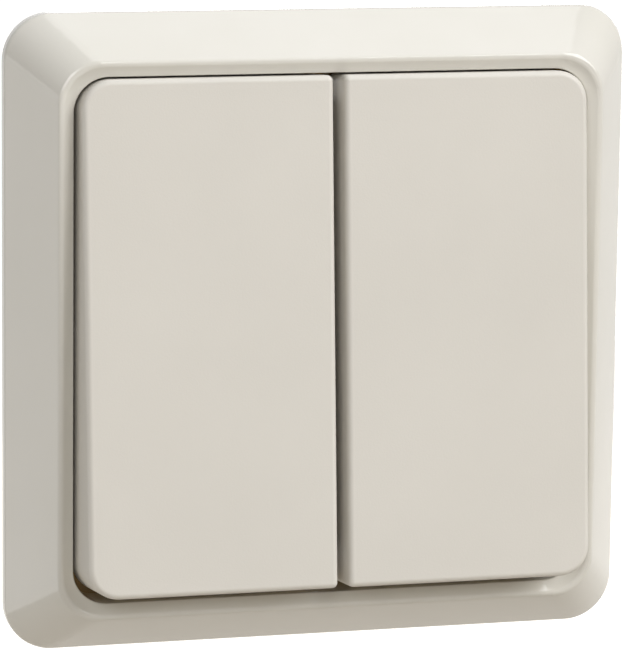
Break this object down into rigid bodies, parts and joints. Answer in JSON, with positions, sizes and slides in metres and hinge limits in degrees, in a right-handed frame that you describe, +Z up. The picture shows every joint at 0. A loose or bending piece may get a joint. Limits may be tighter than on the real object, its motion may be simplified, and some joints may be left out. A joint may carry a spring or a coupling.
{
  "type": "light switch",
  "caption": "Rocker light switch for a round wall box: bevelled square cover frame, side-by-side rockers, support ring with claws, and a see-saw contact insert behind.",
  "frame": {"origin": "centre of the wall plane, where the cover frame's back rim meets the wall", "axes": "+X to the viewer's right, +Y into the wall, +Z up; the rockers face -Y"},
  "size_m": [0.08, 0.0377, 0.08],
  "materials": {
    "frame_plastic": "glossy moulded cream white",
    "rocker_plastic": "satin moulded cream white",
    "cradle_plastic": "plain moulded white",
    "insert_plastic": "pressed thermoset, light grey",
    "release_plastic": "plain moulded orange",
    "zinc_plated_steel": "zinc plated sheet",
    "screw_steel": "zinc plated",
    "spring_steel": "bright spring steel",
    "brass_strip": "stamped strip",
    "silver_contact": "silver alloy rivet"
  },
  "bodies": {
    "root": {"cover_frame": "frame_plastic", "support_ring": "zinc_plated_steel", "switch_cover": "insert_plastic", "switch_base": "insert_plastic", "housing_screws": "screw_steel", "supply_busbar": "brass_strip", "left_fixed_contact": "silver_contact", "left_load_busbar": "brass_strip", "left_supply_clamp_spring": "spring_steel", "left_load_clamp_spring": "spring_steel", "right_fixed_contact": "silver_contact", "right_load_busbar": "brass_strip", "right_supply_clamp_spring": "spring_steel", "right_load_clamp_spring": "spring_steel"},
    "left_rocker_body": {"left_rocker": "rocker_plastic", "left_cradle": "cradle_plastic", "left_plunger_spring": "spring_steel"},
    "left_plunger_body": {"left_plunger": "cradle_plastic"},
    "left_contact_body": {"left_seesaw": "brass_strip", "left_moving_contact": "silver_contact"},
    "left_supply_release_body": {"left_supply_release": "release_plastic"},
    "left_load_release_body": {"left_load_release": "release_plastic"},
    "left_claw_body": {"left_claw": "zinc_plated_steel"},
    "left_claw_screw_body": {"left_claw_screw": "screw_steel"},
    "right_rocker_body": {"right_rocker": "rocker_plastic", "right_cradle": "cradle_plastic", "right_plunger_spring": "spring_steel"},
    "right_plunger_body": {"right_plunger": "cradle_plastic"},
    "right_contact_body": {"right_seesaw": "brass_strip", "right_moving_contact": "silver_contact"},
    "right_supply_release_body": {"right_supply_release": "release_plastic"},
    "right_load_release_body": {"right_load_release": "release_plastic"},
    "right_claw_body": {"right_claw": "zinc_plated_steel"},
    "right_claw_screw_body": {"right_claw_screw": "screw_steel"}
  },
  "joints": [
    {"name": "left_rocker_tilt", "type": "hinge", "parent": "root", "child": "left_rocker_body", "pos_m": [-0.0088, -0.0005, 0], "axis": [1, 0, 0], "range_deg": [0, 9.3]},
    {"name": "left_plunger_slide", "type": "slide", "parent": "left_rocker_body", "child": "left_plunger_body", "axis": [0, -0.9967, 0.0811], "range_m": [0, 0.0008], "stiffness_N_per_m": 300, "springref_m": -0.001, "deforming": ["left_plunger_spring"]},
    {"name": "left_contact_rock", "type": "hinge", "parent": "root", "child": "left_contact_body", "pos_m": [-0.0088, 0.01153, 0], "axis": [1, 0, 0], "range_deg": [-18, 0]},
    {"name": "left_claw_screw_turn", "type": "hinge", "parent": "root", "child": "left_claw_screw_body", "pos_m": [-0.0243, 0, 0], "axis": [0, 1, 0], "range_deg": [0, 891]},
    {"name": "left_claw_swing", "type": "hinge", "parent": "root", "child": "left_claw_body", "pos_m": [-0.0209, 0.0076, 0], "axis": [0, 0, 1], "range_deg": [0, 20]},
    {"name": "left_supply_release_slide", "type": "slide", "parent": "root", "child": "left_supply_release_body", "axis": [0, -1, 0], "range_m": [0, 0.001], "stiffness_N_per_m": 300, "springref_m": -0.0002, "deforming": ["left_supply_clamp_spring"]},
    {"name": "left_load_release_slide", "type": "slide", "parent": "root", "child": "left_load_release_body", "axis": [0, -1, 0], "range_m": [0, 0.001], "stiffness_N_per_m": 300, "springref_m": -0.0002, "deforming": ["left_load_clamp_spring"]},
    {"name": "right_rocker_tilt", "type": "hinge", "parent": "root", "child": "right_rocker_body", "pos_m": [0.0088, -0.0005, 0], "axis": [1, 0, 0], "range_deg": [0, 9.3]},
    {"name": "right_plunger_slide", "type": "slide", "parent": "right_rocker_body", "child": "right_plunger_body", "axis": [0, -0.9967, 0.0811], "range_m": [0, 0.0008], "stiffness_N_per_m": 300, "springref_m": -0.001, "deforming": ["right_plunger_spring"]},
    {"name": "right_contact_rock", "type": "hinge", "parent": "root", "child": "right_contact_body", "pos_m": [0.0088, 0.01153, 0], "axis": [1, 0, 0], "range_deg": [-18, 0]},
    {"name": "right_claw_screw_turn", "type": "hinge", "parent": "root", "child": "right_claw_screw_body", "pos_m": [0.0243, 0, 0], "axis": [0, 1, 0], "range_deg": [0, 891]},
    {"name": "right_claw_swing", "type": "hinge", "parent": "root", "child": "right_claw_body", "pos_m": [0.0209, 0.0076, 0], "axis": [0, 0, -1], "range_deg": [0, 20]},
    {"name": "right_supply_release_slide", "type": "slide", "parent": "root", "child": "right_supply_release_body", "axis": [0, -1, 0], "range_m": [0, 0.001], "stiffness_N_per_m": 300, "springref_m": -0.0002, "deforming": ["right_supply_clamp_spring"]},
    {"name": "right_load_release_slide", "type": "slide", "parent": "root", "child": "right_load_release_body", "axis": [0, -1, 0], "range_m": [0, 0.001], "stiffness_N_per_m": 300, "springref_m": -0.0002, "deforming": ["right_load_clamp_spring"]}
  ],
  "couplings": [
    {"joint": "left_contact_rock", "follows": "left_rocker_tilt", "ratio": -1.9355},
    {"joint": "left_claw_swing", "follows": "left_claw_screw_turn", "ratio": 0.022446},
    {"joint": "right_contact_rock", "follows": "right_rocker_tilt", "ratio": -1.9355},
    {"joint": "right_claw_swing", "follows": "right_claw_screw_turn", "ratio": 0.022446}
  ]
}
